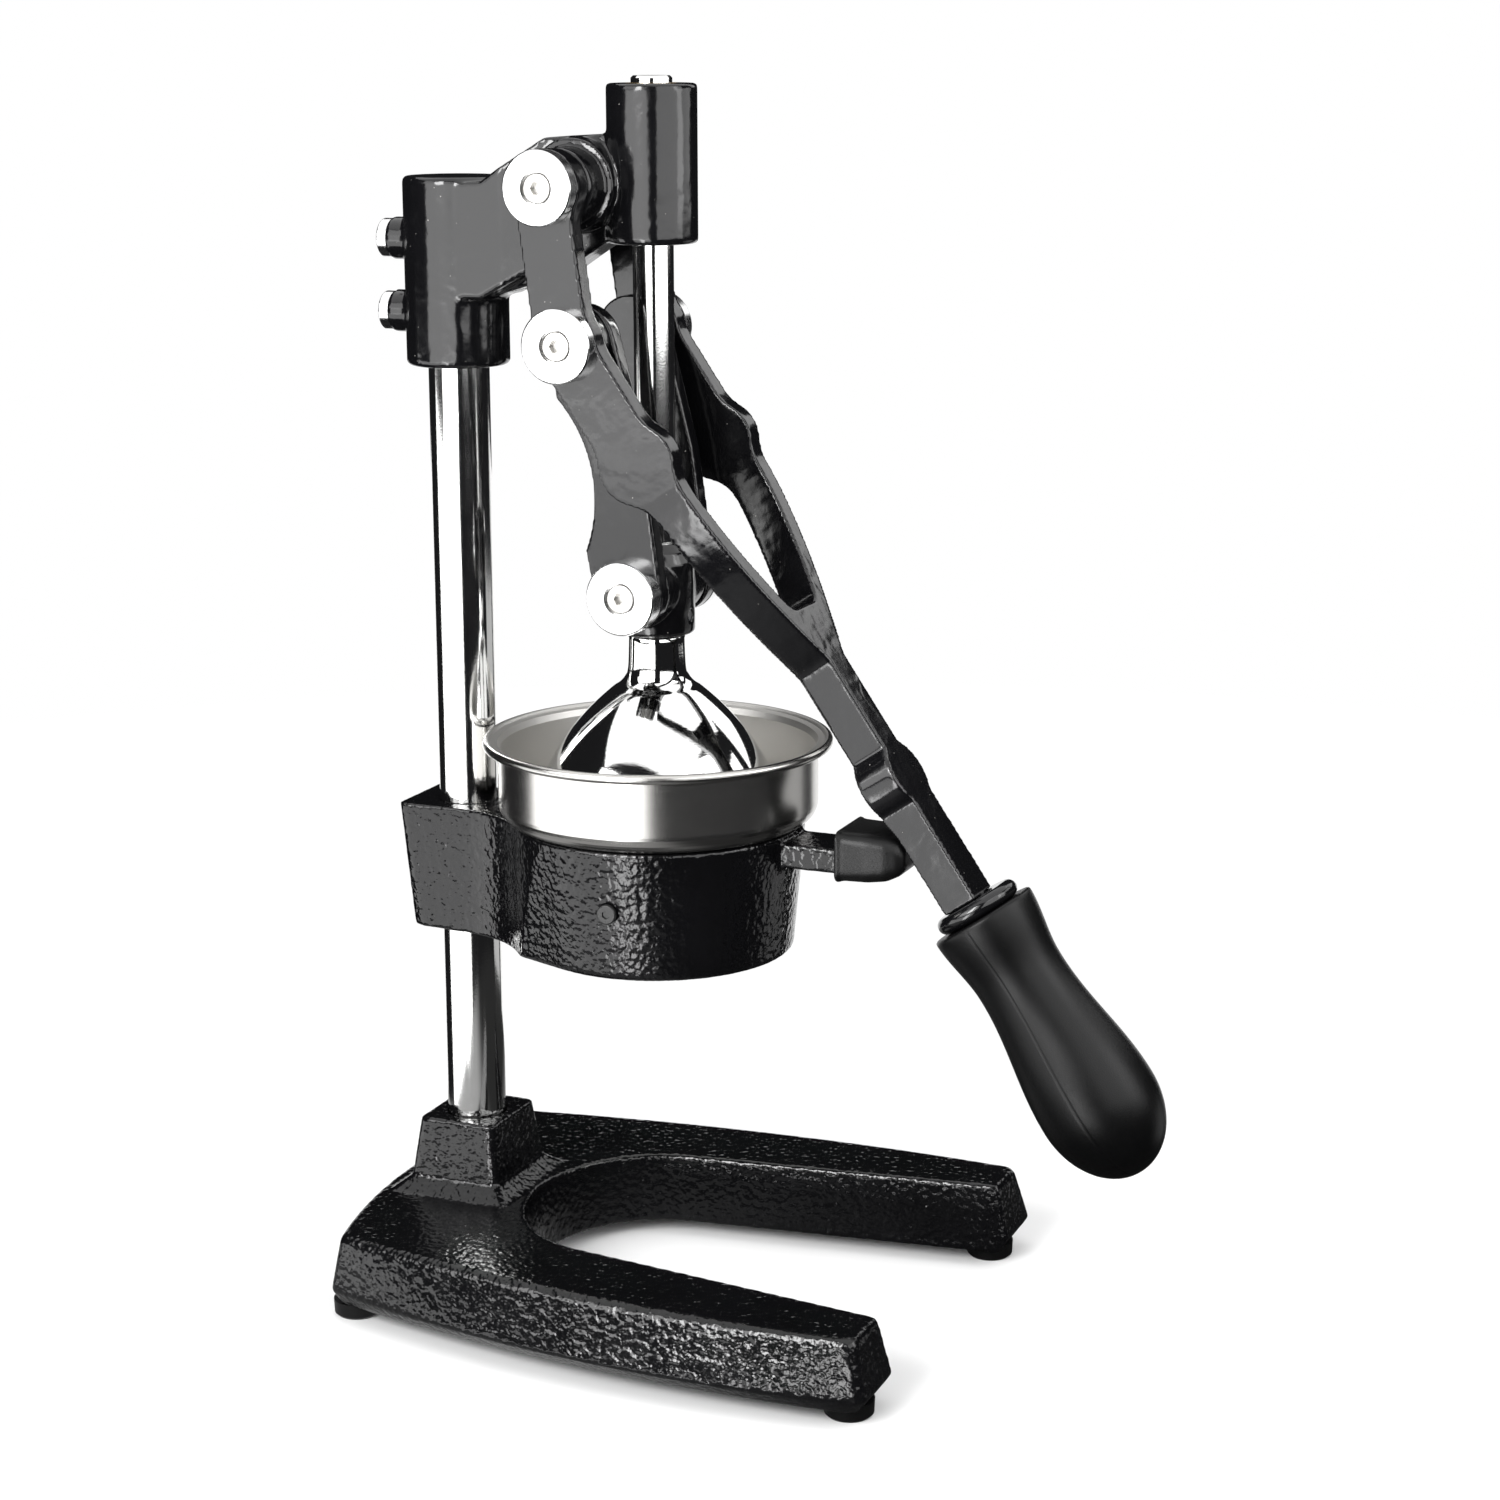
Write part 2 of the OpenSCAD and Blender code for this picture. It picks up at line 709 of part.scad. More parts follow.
// Bowed link on the +Y side: two eyes and a body whose back edge is hollowed
module link_shape() {
    run = [press_x - elbow_x, foot_z - elbow_z];
    turn = atan2(run[1], run[0]);
    difference() {
        translate([elbow_x, 0, elbow_z]) rotate([0, -turn, 0])
            translate([0, (link_in + link_out) / 2, 0]) slab((link_out - link_in) / 2)
                difference() {
                    hull() {
                        circle(12.9);
                        translate([link_length / 2, 4]) circle(11.5);
                        translate([link_length, 0]) circle(12.9);
                    }
                    translate([link_length / 2, -54.5]) circle(49.5);
                }
        along_y(elbow_x, elbow_z) translate([0, 0, link_in + 1.8])
            cylinder(r = shank_r + fit, h = 60);
        along_y(press_x, foot_z) cylinder(r = shank_r + fit, h = 60);
    }
}

module foot_cap() {
    color([0.85, 0.86, 0.87]) along_y(press_x, foot_z)
        translate([0, 0, link_out]) pivot_cap(foot_cap_t);
}

module foot_bolt() {
    color([0.8, 0.81, 0.82]) along_y(press_x, foot_z)
        pivot_screw(link_in + 0.1, link_out + foot_cap_t);
}

module link_left() {
    color([0.07, 0.07, 0.075]) link_shape();
}

module foot_cap_left() {
    foot_cap();
}

module foot_bolt_left() {
    foot_bolt();
}

module link_right() {
    color([0.07, 0.07, 0.075]) mirror([0, 1, 0]) link_shape();
}

module foot_cap_right() {
    mirror([0, 1, 0]) foot_cap();
}

module foot_bolt_right() {
    mirror([0, 1, 0]) foot_bolt();
}

// ---------------------------------------------------------------- press rod, crosshead, bell

module press_rod() {
    color([0.82, 0.83, 0.84]) on_press() difference() {
        chamfered_post(rod_d / 2, rod_bottom, rod_top, 0.8);
        pin_hole(2 + fit);
    }
}

// Cross hole through the rod and the crosshead, front to back
module pin_hole(r) {
    translate([-20, 0, crosshead_bottom + 7]) rotate([0, 90, 0]) cylinder(r = r, h = 40);
}

module crosshead() {
    top = foot_z + 16;
    color([0.07, 0.07, 0.075]) on_press() difference() {
        union() {
            rotate_extrude() polygon([[0, crosshead_bottom], [crosshead_r - 1, crosshead_bottom],
                [crosshead_r, crosshead_bottom + 1], [crosshead_r, top - 7],
                [crosshead_r - 1.5, top - 3], [crosshead_r - 4.5, top], [0, top]]);
            both_sides() along_y(0, foot_z) chamfered_boss(12.2, link_in - gap);
        }
        translate([0, 0, crosshead_bottom - 1]) cylinder(r = rod_d / 2 + fit, h = 60);
        pin_hole(2 + fit);
    }
}

module crosshead_pin() {
    color([0.6, 0.6, 0.62]) on_press()
        translate([-crosshead_r + 1, 0, crosshead_bottom + 7]) rotate([0, 90, 0])
            cylinder(r = 2, h = 2 * crosshead_r - 2);
}

// Point of the bell's outline at the fraction u of the way from its mouth to its neck, drawn
// in by inset
function bell_at(u, inset) =
    let (mouth = [bell_d / 2, bell_mouth], top = [15.9, neck_foot], run = top - mouth,
        out = [run[1], -run[0]] / norm(run))
    mouth + run * u + out * (bow(u, bell_bulge) - inset);

module press_bell() {
    outer = [for (u = [0 : 0.0625 : 1]) bell_at(u, 0)];
    inner = [for (u = [0.9 : -0.09 : 0]) bell_at(u, bell_wall)];
    color([0.85, 0.86, 0.87]) on_press() rotate_extrude() difference() {
        polygon(concat([[0, bell_mouth]], outer, [[13.6, neck_foot + 1.7],
            [11.9, neck_foot + 3.7], [neck_r + 0.7, neck_foot + 6.4],
            [neck_r, crosshead_bottom - 1.2], [neck_r - 0.8, crosshead_bottom],
            [0, crosshead_bottom]]));
        polygon(concat([[0, bell_ceiling], [inner[0][0] - 0.6, bell_ceiling]], inner,
            [[bell_d / 2 - bell_wall, bell_mouth - 5], [0, bell_mouth - 5]]));
        translate([0, rod_bottom - 1]) square([rod_d / 2 + fit, 60]);
    }
}

module bell_nut() {
    color([0.6, 0.6, 0.62]) on_press() difference() {
        translate([0, 0, bell_ceiling - 7]) cylinder(r = 11, h = 7, $fn = 6);
        translate([0, 0, 219]) cylinder(r = rod_d / 2 + fit, h = 12);
    }
}

// ---------------------------------------------------------------- assembly

base();
rubber_feet();
foot_screws();
column();
column_bolt();
column_washer();
cup_holder();
holder_screw();
holder_clamp_screw();
bumper();
juice_funnel();
strainer_cup();
reamer_cone();
head_bracket();
head_screws();
guide_bush_lower();
guide_bush_upper();
lever_washers();
lever_pivot_caps();
lever_pivot_bolts();
lever();
lever_bushes();
grip_collar();
grip();
elbow_caps();
elbow_bolts();
elbow_spacers();
link_left();
foot_cap_left();
foot_bolt_left();
link_right();
foot_cap_right();
foot_bolt_right();
press_rod();
crosshead();
crosshead_pin();
press_bell();
bell_nut();
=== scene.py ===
import json
import math

import bmesh
import bpy
from mathutils import Matrix, Vector


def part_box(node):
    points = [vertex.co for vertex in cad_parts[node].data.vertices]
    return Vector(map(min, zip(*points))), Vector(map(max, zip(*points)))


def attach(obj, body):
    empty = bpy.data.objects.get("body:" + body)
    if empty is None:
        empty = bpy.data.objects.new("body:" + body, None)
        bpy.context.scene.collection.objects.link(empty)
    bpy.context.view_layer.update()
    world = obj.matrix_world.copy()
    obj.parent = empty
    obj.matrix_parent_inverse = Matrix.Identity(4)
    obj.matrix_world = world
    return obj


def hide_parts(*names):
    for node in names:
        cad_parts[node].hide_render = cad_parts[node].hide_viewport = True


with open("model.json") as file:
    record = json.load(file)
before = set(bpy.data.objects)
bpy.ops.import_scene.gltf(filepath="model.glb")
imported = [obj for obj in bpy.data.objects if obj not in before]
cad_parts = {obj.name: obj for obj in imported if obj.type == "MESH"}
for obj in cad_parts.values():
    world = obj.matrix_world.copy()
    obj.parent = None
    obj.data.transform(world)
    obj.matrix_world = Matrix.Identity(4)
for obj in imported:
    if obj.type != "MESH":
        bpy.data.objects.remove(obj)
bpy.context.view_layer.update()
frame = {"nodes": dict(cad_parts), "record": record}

NODES = frame["nodes"]
MIX_FACTOR, MIX_A, MIX_B, MIX_COLOUR = 0, 6, 7, 2   # sockets of a Mix node that mixes colours
BODY_OF = {node: body for body, nodes in frame["record"]["behaviour"]["bodies"].items() for node in nodes}
MM = 0.001


def middle(node):
    """Centre of a CAD node's box."""
    low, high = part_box(node)
    return (low + high) / 2


ROD = middle("press_rod")


# ------------------------------------------------------------------ materials

def new_material(name):
    """A material with one Principled shader; returns it with its node tree, shader and coordinates."""
    mat = bpy.data.materials.new(name)
    mat.use_nodes = True
    tree = mat.node_tree
    shader = tree.nodes["Principled BSDF"]
    coords = tree.nodes.new("ShaderNodeTexCoord")
    return mat, tree, shader, coords.outputs["Object"]


def node(tree, kind, inputs=None, **props):
    """A new shader node; inputs may be sockets to link or plain values."""
    n = tree.nodes.new(kind)
    for key, value in props.items():
        setattr(n, key, value)
    for key, value in (inputs or {}).items():
        socket = n.inputs[key]
        if isinstance(value, bpy.types.NodeSocket):
            tree.links.new(value, socket)
        else:
            socket.default_value = value
    return n


def mapping(tree, vector, scale, rotation=(0, 0, 0)):
    return node(tree, "ShaderNodeMapping", {"Vector": vector, "Scale": scale, "Rotation": rotation}).outputs[0]


def noise(tree, vector, scale, detail=2.0, rough=0.5, distortion=0.0):
    n = node(tree, "ShaderNodeTexNoise",
             {"Vector": vector, "Scale": scale, "Detail": detail, "Roughness": rough, "Distortion": distortion})
    return n.outputs["Fac"]


def colour_mix(tree, fac, a, b):
    """Colour a mixed towards b; a may be a socket or a plain colour, b is a plain colour."""
    start = a if isinstance(a, bpy.types.NodeSocket) else (*a, 1)
    return node(tree, "ShaderNodeMix", {MIX_FACTOR: fac, MIX_A: start, MIX_B: (*b, 1)},
                data_type="RGBA").outputs[MIX_COLOUR]


def remap(tree, value, low, high):
    """Value from 0..1 stretched to low..high."""
    return node(tree, "ShaderNodeMapRange", {"Value": value, "To Min": low, "To Max": high}).outputs[0]


def combine(tree, a, b, factor):
    """a + b * factor."""
    scaled = node(tree, "ShaderNodeMath", {0: b, 1: factor}, operation="MULTIPLY").outputs[0]
    return node(tree, "ShaderNodeMath", {0: a, 1: scaled}, operation="ADD").outputs[0]


def bump(tree, shader, height, strength, distance):
    n = node(tree, "ShaderNodeBump", {"Height": height, "Strength": strength, "Distance": distance})
    tree.links.new(n.outputs[0], shader.inputs["Normal"])


def darker(tint, share):
    return tuple(c * share for c in tint)


DULL_INSIDE = 0.20   # roughness that the inside of the cup has more than its outside


def hammered_enamel(name):
    """Thick black enamel over a rough casting: small wet lumps over the larger ones of the mesh."""
    mat, tree, shader, at = new_material(name)
    lumps = noise(tree, at, 430, 1.0, 0.4, 0.15)
    cells = node(tree, "ShaderNodeTexVoronoi", {"Vector": at, "Scale": 520.0, "Smoothness": 1.0},
                 feature="SMOOTH_F1").outputs["Distance"]
    height = combine(tree, combine(tree, lumps, cells, -0.5), noise(tree, at, 1300, 1.0, 0.4), 0.10)
    bump(tree, shader, height, 0.55, 0.0007)
    tree.links.new(colour_mix(tree, noise(tree, at, 38, 2.0), (0.0012, 0.0012, 0.0014), (0.0040, 0.0040, 0.0046)),
                   shader.inputs["Base Color"])
    tree.links.new(remap(tree, noise(tree, at, 90, 3.0), 0.08, 0.20), shader.inputs["Roughness"])
    shader.inputs["IOR"].default_value = 1.5
    shader.inputs["Specular IOR Level"].default_value = 0.42
    return mat


def gloss_enamel(name, ripple_tilt=None):
    """Smooth black enamel that lies in faint waves, with a few dull smears and specks of dust.

    With a tilt about Y it also lies in fine ripples across a bar at that tilt.
    """
    mat, tree, shader, at = new_material(name)
    waves = noise(tree, at, 75, 2.0, 0.5, 0.4)
    height = combine(tree, waves, noise(tree, at, 420, 2.0), 0.09)
    if ripple_tilt is not None:
        along = mapping(tree, at, (1, 1, 1), (0, -ripple_tilt, 0))
        ripples = noise(tree, mapping(tree, along, (330, 45, 45)), 1.0, 1.5, 0.4)
        height = combine(tree, height, ripples, 0.10)
    bump(tree, shader, height, 0.35, 0.0011)
    dust = node(tree, "ShaderNodeMapRange", {"Value": noise(tree, at, 900, 1.0), "From Min": 0.79, "From Max": 0.83})
    clean = colour_mix(tree, noise(tree, at, 25, 2.0), (0.0014, 0.0014, 0.0017), (0.0050, 0.0050, 0.0058))
    tree.links.new(colour_mix(tree, dust.outputs[0], clean, (0.30, 0.29, 0.27)), shader.inputs["Base Color"])
    tree.links.new(remap(tree, noise(tree, at, 70, 3.0), 0.07, 0.20), shader.inputs["Roughness"])
    shader.inputs["IOR"].default_value = 1.52
    return mat


def polished_metal(name, tint, rough, streak=(900, 900, 12), depth=0.00004):
    """Polished metal with fine scratches drawn out along one axis and faint smears."""
    mat, tree, shader, at = new_material(name)
    scratches = noise(tree, mapping(tree, at, streak), 1.0, 3.0, 0.6)
    smears = noise(tree, at, 55, 3.0, 0.6)
    specks = noise(tree, at, 1400, 1.0)
    bump(tree, shader, combine(tree, scratches, specks, 0.3), 0.6, depth)
    dark = darker(tint, 0.88)
    tree.links.new(colour_mix(tree, smears, dark, tint), shader.inputs["Base Color"])
    spread = combine(tree, smears, scratches, 0.5)
    tree.links.new(remap(tree, spread, rough[0], rough[1]), shader.inputs["Roughness"])
    shader.inputs["Metallic"].default_value = 1.0
    return mat


def satin_metal(name, tint, rough, bowl_at=None):
    """Satin sheet metal with the fine level lines of spinning; duller on the faces that look into a bowl."""
    mat, tree, shader, at = new_material(name)
    grain = noise(tree, mapping(tree, at, (18, 18, 2600)), 1.0, 3.0, 0.65)
    blotch = noise(tree, at, 30, 3.0)
    bump(tree, shader, grain, 0.3, 0.00004)
    dark = darker(tint, 0.88)
    tree.links.new(colour_mix(tree, combine(tree, blotch, grain, 0.25), dark, tint), shader.inputs["Base Color"])
    spread = remap(tree, combine(tree, grain, blotch, 0.5), rough[0], rough[1])
    if bowl_at is not None:
        normal = node(tree, "ShaderNodeNewGeometry").outputs["Normal"]
        outward = node(tree, "ShaderNodeVectorMath", {0: at, 1: bowl_at}, operation="SUBTRACT").outputs["Vector"]
        facing = node(tree, "ShaderNodeVectorMath", {0: outward, 1: normal}, operation="DOT_PRODUCT").outputs["Value"]
        inside = node(tree, "ShaderNodeMapRange", {"Value": facing, "From Min": 0.0, "From Max": -0.01,
                                                   "To Min": 0.0, "To Max": DULL_INSIDE}).outputs[0]
        spread = node(tree, "ShaderNodeMath", {0: spread, 1: inside}, operation="ADD").outputs[0]
    tree.links.new(spread, shader.inputs["Roughness"])
    shader.inputs["Metallic"].default_value = 1.0
    return mat


def matte_black(name, rough, grain_scale, depth, tint=(0.012, 0.012, 0.012), shine=0.5):
    """Moulded black plastic or rubber with a fine grain and rubbed patches."""
    mat, tree, shader, at = new_material(name)
    grain = noise(tree, at, grain_scale, 2.0, 0.6)
    rubbed = noise(tree, at, 45, 3.0, 0.6)
    bump(tree, shader, grain, 0.55, depth)
    dark = darker(tint, 0.6)
    tree.links.new(colour_mix(tree, rubbed, dark, tint), shader.inputs["Base Color"])
    tree.links.new(remap(tree, rubbed, rough[0], rough[1]), shader.inputs["Roughness"])
    shader.inputs["IOR"].default_value = 1.5
    shader.inputs["Specular IOR Level"].default_value = shine
    return mat


BAR_ANGLE = 55.5   # slope of the lever's bar below level, in degrees

HAMMERED = hammered_enamel("hammered_enamel")
ENAMEL = gloss_enamel("gloss_enamel")
LEVER_ENAMEL = gloss_enamel("lever_enamel", math.radians(BAR_ANGLE))
COLUMN_CHROME = polished_metal("column_chrome", (0.80, 0.80, 0.79), (0.03, 0.12))
CAP_CHROME = polished_metal("cap_chrome", (0.80, 0.80, 0.80), (0.10, 0.22), (300, 300, 300))
SCREW_STEEL = satin_metal("screw_steel", (0.50, 0.49, 0.47), (0.20, 0.34))
BELL_CHROME = polished_metal("bell_chrome", (0.84, 0.84, 0.83), (0.02, 0.07), (120, 120, 1400), 0.00002)
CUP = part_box("strainer_cup")
CUP_MOUTH = ((CUP[0].x + CUP[1].x) / 2, (CUP[0].y + CUP[1].y) / 2, CUP[1].z)
SATIN = satin_metal("satin_steel", (0.56, 0.55, 0.53), (0.16, 0.25), CUP_MOUTH)
ZINC = satin_metal("zinc_plate", (0.55, 0.55, 0.56), (0.25, 0.45))
BRONZE = satin_metal("bronze", (0.45, 0.32, 0.14), (0.22, 0.4))
GRIP_BLACK = matte_black("grip_plastic", (0.30, 0.40), 2600, 0.00008, (0.0022, 0.0022, 0.0024), 0.22)
RUBBER = matte_black("black_rubber", (0.34, 0.46), 1500, 0.00012, (0.0040, 0.0040, 0.0042), 0.28)
BLACK_OXIDE = matte_black("black_oxide", (0.3, 0.45), 1200, 0.00005)

MATERIAL = {
    "base": HAMMERED, "cup_holder": HAMMERED,
    "head_bracket": ENAMEL, "lever": LEVER_ENAMEL, "link_left": ENAMEL, "link_right": ENAMEL,
    "crosshead": ENAMEL, "grip_collar": ENAMEL, "elbow_spacers": ENAMEL,
    "column": COLUMN_CHROME, "press_rod": COLUMN_CHROME, "press_bell": BELL_CHROME,
    "strainer_cup": SATIN, "reamer_cone": SATIN, "juice_funnel": SATIN,
    "grip": GRIP_BLACK, "bumper": RUBBER, "rubber_feet": RUBBER,
    "lever_pivot_bolts": SCREW_STEEL, "elbow_bolts": SCREW_STEEL,
    "foot_bolt_left": SCREW_STEEL, "foot_bolt_right": SCREW_STEEL,
    "holder_screw": BLACK_OXIDE, "holder_clamp_screw": BLACK_OXIDE,
    "guide_bush_lower": BRONZE, "guide_bush_upper": BRONZE, "lever_washers": BRONZE, "lever_bushes": BRONZE,
    "foot_screws": ZINC, "column_bolt": ZINC, "column_washer": ZINC, "crosshead_pin": ZINC, "bell_nut": ZINC,
}
for name, ob in NODES.items():
    mat = MATERIAL.get(name, CAP_CHROME)
    for used in ob.material_slots:
        used.material = mat


# ------------------------------------------------------------------ pieces

def stand_in(ob, node_name):
    """Applies the piece's modifiers and puts it in the place of a CAD node."""
    bpy.context.view_layer.update()
    mesh = bpy.data.meshes.new_from_object(ob.evaluated_get(bpy.context.evaluated_depsgraph_get()))
    ob.modifiers.clear()
    ob.data = mesh
    mesh.materials.clear()
    mesh.materials.append(MATERIAL[node_name])
    mesh.shade_smooth()
    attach(ob, BODY_OF[node_name])
    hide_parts(node_name)


def hammer_texture(name, size):
    """Rounded lumps of about the given size."""
    texture = bpy.data.textures.new(name, "CLOUDS")
    texture.noise_scale = size
    texture.noise_depth = 1
    texture.noise_basis = "IMPROVED_PERLIN"
    return texture


def cast_copy(node_name, name, voxel, rounds, relief=0.0, relief_size=0.0):
    """A copy of a CAD node with the soft edges of an enamelled casting, and lumps pressed into it.

    Sizes are in metres; rounds counts the smoothing passes.
    """
    ob = bpy.data.objects.new(name, NODES[node_name].data.copy())
    bpy.context.scene.collection.objects.link(ob)
    remesh = ob.modifiers.new("remesh", "REMESH")
    remesh.mode = "VOXEL"
    remesh.voxel_size = voxel
    smooth = ob.modifiers.new("smooth", "SMOOTH")
    smooth.factor = 0.5
    smooth.iterations = rounds
    if relief:
        lumps = ob.modifiers.new("lumps", "DISPLACE")
        lumps.texture = hammer_texture(name + "_lumps", relief_size)
        lumps.texture_coords = "LOCAL"
        lumps.mid_level = 1.0
        lumps.strength = relief
    stand_in(ob, node_name)


for row in (
    ("base", "base_casting", 0.0009, 6, 0.00022, 0.0022),
    ("cup_holder", "holder_casting", 0.0008, 5, 0.00024, 0.0024),
    ("head_bracket", "head_casting", 0.0008, 4),
    ("lever", "lever_casting", 0.0007, 2),
    ("link_left", "link_left_casting", 0.0007, 2),
    ("link_right", "link_right_casting", 0.0007, 2),
    ("crosshead", "crosshead_casting", 0.0007, 3),
    ("bumper", "bumper_moulding", 0.0005, 24),
):
    cast_copy(*row)


def lathe(node_name, name, profile, origin, axes, segments, groove=None):
    """A turned piece from (radius, height) points in mm; groove(turn, height) is a depth in mm, turn is 0 to 1."""
    up_x, up_y, up_z = (Vector(a) for a in axes)
    verts, faces = [], []
    count = len(profile)
    for i in range(segments):
        angle = 2 * math.pi * i / segments
        side = up_x * math.cos(angle) + up_y * math.sin(angle)
        for radius, height in profile:
            depth = groove(i / segments, height) if groove else 0
            verts.append(Vector(origin) + (side * max(radius - depth, 0) + up_z * height) * MM)
    for i in range(segments):
        j = (i + 1) % segments
        for k in range(count - 1):
            faces.append((i * count + k, j * count + k, j * count + k + 1, i * count + k + 1))
    mesh = bpy.data.meshes.new(name)
    mesh.from_pydata(verts, [], faces)
    mesh.validate()
    ob = bpy.data.objects.new(name, mesh)
    bpy.context.scene.collection.objects.link(ob)
    weld = ob.modifiers.new("weld", "WELD")
    weld.merge_threshold = 1e-6
    stand_in(ob, node_name)


def through(points, steps):
    """Catmull-Rom curve through (radius, height) points."""
    out = []
    for i in range(len(points) - 1):
        a, b = points[i], points[i + 1]
        before = points[i - 1] if i else (2 * a[0] - b[0], 2 * a[1] - b[1])
        after = points[i + 2] if i + 2 < len(points) else (2 * b[0] - a[0], 2 * b[1] - a[1])
        for k in range(steps):
            t = k / steps
            out.append(tuple(0.5 * (2 * a[d] + (b[d] - before[d]) * t
                                    + (2 * before[d] - 5 * a[d] + 4 * b[d] - after[d]) * t ** 2
                                    + (3 * a[d] - before[d] - 3 * b[d] + after[d]) * t ** 3) for d in (0, 1)))
    out.append(points[-1])
    return out


def bell():
    """The polished bell: a bulging skirt, a flared neck and the hollow under them, as (radius, height) in mm."""
    mouth, top, bulge, wall = Vector((47.15, 184.02)), Vector((15.9, 230.8)), 4.4, 2
    run = top - mouth
    out = Vector((run.y, -run.x)).normalized()

    def skirt(u, inset):
        at = mouth + run * u + out * (4 * bulge * u * (1 - u) - inset)
        return at.x, at.y

    outer = [skirt(k / 32, 0) for k in range(33)]
    neck = through([outer[-1], (13.5, 232.5), (11.85, 234.6), (10.95, 237.4), (10.6, 241.5), (10.35, 248.8)], 6)
    head = [(10.2, 249.7), (9.9, 250.3), (9.4, 250.7), (7.3, 250.78), (7.3, 228.0)]
    inner = [skirt(0.9 - 0.9 * k / 20, wall) for k in range(21)]
    upright = ((1, 0, 0), (0, 1, 0), (0, 0, 1))
    lathe("press_bell", "bell_spun", outer + neck[1:] + head + inner + [outer[0]], (ROD.x, 0, 0), upright, 256)


def grip():
    """The pear-shaped grip with the seam of its mould down both sides; sizes are in mm."""
    c, s = math.cos(math.radians(BAR_ANGLE)), math.sin(math.radians(BAR_ANGLE))
    down, out = Vector((c, 0, -s)), Vector((s, 0, c))
    origin = ELBOW + (down * GRIP_FROM_ELBOW + out * GRIP_OUT) * MM
    waist_r, bulb_r, bulb_at, waist_at, lip_h, length = 16.3, 21.78, 77.0, 26.0, 3.0, 105.25
    seam_depth, seam_from = 0.22, 1.5
    face = [(5, 0.02), (waist_r + 1.2, 0.02), (waist_r + 2.2, 0.12), (waist_r + 2.75, 0.5), (waist_r + 2.9, 1.1)]
    lip = [(waist_r + lip_h / 2 * (1 + math.cos(math.pi * t / waist_at)) - 0.03, t)
           for t in (2, 3, 4, 5.5, 7, 9, 11, 13, 15, 17, 19, 21, 23)]
    body = [(waist_r + (bulb_r - waist_r) / 2 * (1 - math.cos(math.pi * k / 24)),
             waist_at + (bulb_at - waist_at) * k / 24) for k in range(24)]
    end = [(bulb_r * math.cos(math.pi / 2 * k / 24), bulb_at + (length - bulb_at) * math.sin(math.pi / 2 * k / 24))
           for k in range(25)]

    def seam(turn, height):
        on_seam = min(abs(turn - 0.25), abs(turn - 0.75)) < 1e-4
        return seam_depth if on_seam and height > seam_from else 0.0

    lathe("grip", "grip_moulded", face + lip + body + end, origin, (out, Vector((0, -1, 0)), down), 256, seam)


PIVOT_TO_ELBOW = 53.3    # between the lever's two eyes, in mm
CRANK_LEAN = 6.4         # lean of the line through them, in degrees
GRIP_FROM_ELBOW = 242.2  # from the elbow down the bar to the grip's face, in mm
GRIP_OUT = 5.1           # from the elbow out to the grip's axis, in mm
PIVOT = middle("lever_pivot_caps")
LEAN = math.radians(CRANK_LEAN)
ELBOW = Vector((PIVOT.x, 0, PIVOT.z)) + Vector((math.sin(LEAN), 0, -math.cos(LEAN))) * PIVOT_TO_ELBOW * MM

bell()
grip()


# ------------------------------------------------------------------ stage, lights and camera

CAMERA_AT = Vector((0.405165, -0.976100, 0.460731))   # metres
CAMERA_AZIMUTH = math.radians(22.8435)                # from the front, towards the right
CAMERA_ELEVATION = math.radians(13.2973)
CAMERA_ROLL = math.radians(-0.1636)
LENS, SENSOR = 73.17, 36                              # millimetres


def camera_matrix(azimuth, elevation, roll):
    """The turn of a camera or lamp that stands at an azimuth and elevation and looks at the middle, in radians."""
    back = Vector((math.sin(azimuth) * math.cos(elevation), -math.cos(azimuth) * math.cos(elevation),
                   math.sin(elevation)))
    right = Vector((0, 0, 1)).cross(back).normalized()
    up = back.cross(right)
    c, s = math.cos(roll), math.sin(roll)
    x, y = right * c + up * s, up * c - right * s
    return Matrix((x, y, back)).transposed().to_4x4()


camera_data = bpy.data.cameras.new("camera")
camera_data.lens = LENS
camera_data.sensor_width = SENSOR
camera = bpy.data.objects.new("camera", camera_data)
camera.matrix_world = Matrix.Translation(CAMERA_AT) @ camera_matrix(CAMERA_AZIMUTH, CAMERA_ELEVATION, CAMERA_ROLL)
bpy.context.scene.collection.objects.link(camera)
bpy.context.scene.camera = camera


def area_light(name, place, width, height, radiance):
    """A rectangular soft box that the camera doesn't see; place is its matrix."""
    data = bpy.data.lights.new(name, "AREA")
    data.shape = "RECTANGLE"
    data.size = width
    data.size_y = height
    data.energy = radiance * math.pi * width * height
    ob = bpy.data.objects.new(name, data)
    ob.matrix_world = place
    ob.visible_camera = False
    bpy.context.scene.collection.objects.link(ob)


def upright_light(name, bearing, distance, low, high, width, radiance):
    """A soft box that faces the object, at a bearing from the camera's in degrees, from height low to high."""
    a = CAMERA_AZIMUTH + math.radians(bearing)
    at = Matrix.Translation((math.sin(a) * distance, -math.cos(a) * distance, (low + high) / 2))
    area_light(name, at @ camera_matrix(a, 0, 0), width, high - low, radiance)


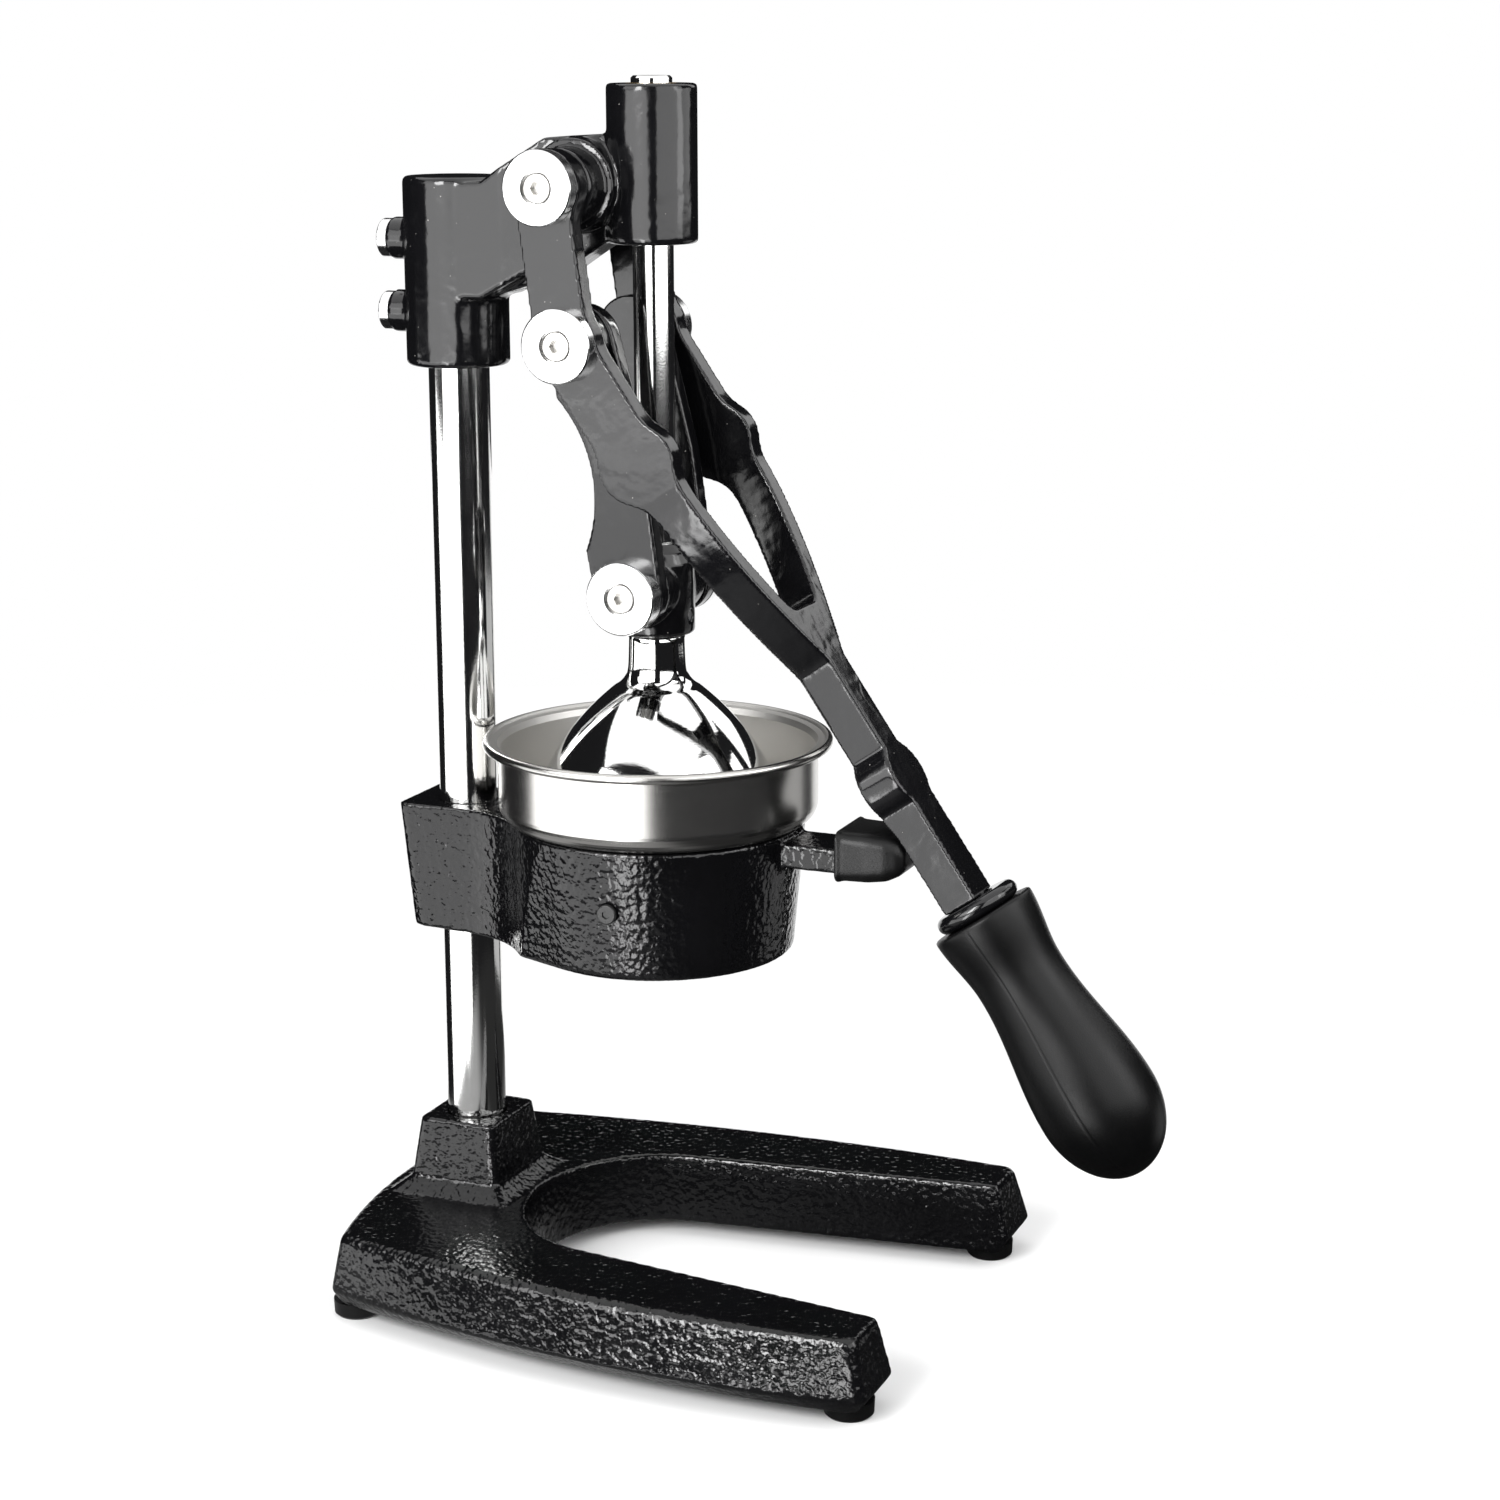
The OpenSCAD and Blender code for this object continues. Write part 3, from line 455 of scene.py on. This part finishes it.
# name, bearing, distance, low, high, width (metres) and radiance
for row in (
    ("box_left", -43, 1.35, 0.62, 1.45, 1.75, 3.0),
    ("near_left", -40, 0.60, 0.23, 0.50, 0.66, 3.7),
    ("table_left", -53, 1.35, -0.6, 0.14, 2.75, 2.7),
    ("strip_left", -34, 1.30, 0.50, 1.35, 0.34, 16.0),
    ("strip_low", -27, 1.30, -0.65, 0.14, 0.30, 8.0),
    ("box_right", 48, 0.85, 0.26, 1.2, 1.3, 2.6),
    ("strip_right", 66, 1.10, 0.50, 1.2, 0.16, 3.5),
    ("box_back_right", 135, 1.3, 0.60, 1.5, 0.6, 1.6),
    ("table_back", 180, 1.35, -0.6, 0.12, 1.8, 1.2),
    ("table_right", 112, 1.30, -0.6, 0.02, 0.7, 0.6),
    ("near_right", 90, 0.50, 0.36, 0.52, 0.42, 2.0),
):
    upright_light(*row)
area_light("box_top", Matrix.Translation((-0.05, 0.15, 1.6)), 2.5, 2.5, 1.5)

world = bpy.data.worlds.new("studio")
bpy.context.scene.world = world
world.use_nodes = True
sky = world.node_tree
seen = node(sky, "ShaderNodeLightPath").outputs["Is Camera Ray"]
sky.links.new(colour_mix(sky, seen, (0.012, 0.012, 0.013), (1, 1, 1)), sky.nodes["Background"].inputs["Color"])

bpy.context.scene.view_settings.view_transform = "Standard"
bpy.context.scene.view_settings.look = "None"


def disc(name, radius, segments, height=0.0):
    """A flat disc on the stage with a new material; returns it with its shader tree, shader and coordinates."""
    bm = bmesh.new()
    bmesh.ops.create_circle(bm, cap_ends=True, radius=radius, segments=segments)
    mesh = bpy.data.meshes.new(name)
    bm.to_mesh(mesh)
    bm.free()
    ob = bpy.data.objects.new(name, mesh)
    ob.location = (0.0, 0.0, height)
    bpy.context.scene.collection.objects.link(ob)
    mat, tree, shader, at = new_material(name)
    mesh.materials.append(mat)
    return ob, tree, shader, at


def paper_floor():
    """White paper that takes the contact shadows, and fades to pure white away from the object."""
    shadow_r, white_r, white = 0.2, 0.36, 1.02
    ob, tree, shader, at = disc("floor", 1.1, 128)
    tree.links.new(colour_mix(tree, noise(tree, at, 6, 3.0), (0.83, 0.83, 0.83), (0.87, 0.87, 0.87)),
                   shader.inputs["Base Color"])
    shader.inputs["Roughness"].default_value = 0.9
    shader.inputs["Specular IOR Level"].default_value = 0.0
    away = node(tree, "ShaderNodeVectorMath", {0: at}, operation="LENGTH").outputs["Value"]
    fade = node(tree, "ShaderNodeMapRange", {"Value": away, "From Min": shadow_r, "From Max": white_r},
                interpolation_type="SMOOTHSTEP").outputs[0]
    glow = node(tree, "ShaderNodeEmission", {"Color": (1, 1, 1, 1), "Strength": white})
    blend = node(tree, "ShaderNodeMixShader", {0: fade, 1: shader.outputs[0], 2: glow.outputs[0]})
    tree.links.new(blend.outputs[0], tree.nodes["Material Output"].inputs["Surface"])
    ob.visible_glossy = False


def painted_table_reflection():
    """Painted reflection of the table for polished faces: a disc that glows, bright on the left where the lamps light
    the table and nearly dark on the right, and that only reflections meet.
    """
    # painted light: glow strengths that stand in for the table lit on the left and in shade on the right
    left, right, lit_side_glow, dark = -0.10, 0.06, 0.45, 0.03
    ob, tree, _, at = disc("painted_table_reflection", 0.30, 96, -0.0008)
    across = (math.cos(CAMERA_AZIMUTH), math.sin(CAMERA_AZIMUTH), 0)
    side = node(tree, "ShaderNodeVectorMath", {0: at, 1: across}, operation="DOT_PRODUCT").outputs["Value"]
    fall = node(tree, "ShaderNodeMapRange", {"Value": side, "From Min": left, "From Max": right, "To Min": lit_side_glow,
                                             "To Max": dark}, interpolation_type="SMOOTHSTEP").outputs[0]
    # painted reflection: this glow is no lamp; only glossy rays see it
    glow = node(tree, "ShaderNodeEmission", {"Color": (1, 1, 1, 1), "Strength": fall})
    tree.links.new(glow.outputs[0], tree.nodes["Material Output"].inputs["Surface"])
    for ray in ("camera", "diffuse", "transmission", "volume_scatter", "shadow"):
        setattr(ob, "visible_" + ray, False)


paper_floor()
painted_table_reflection()
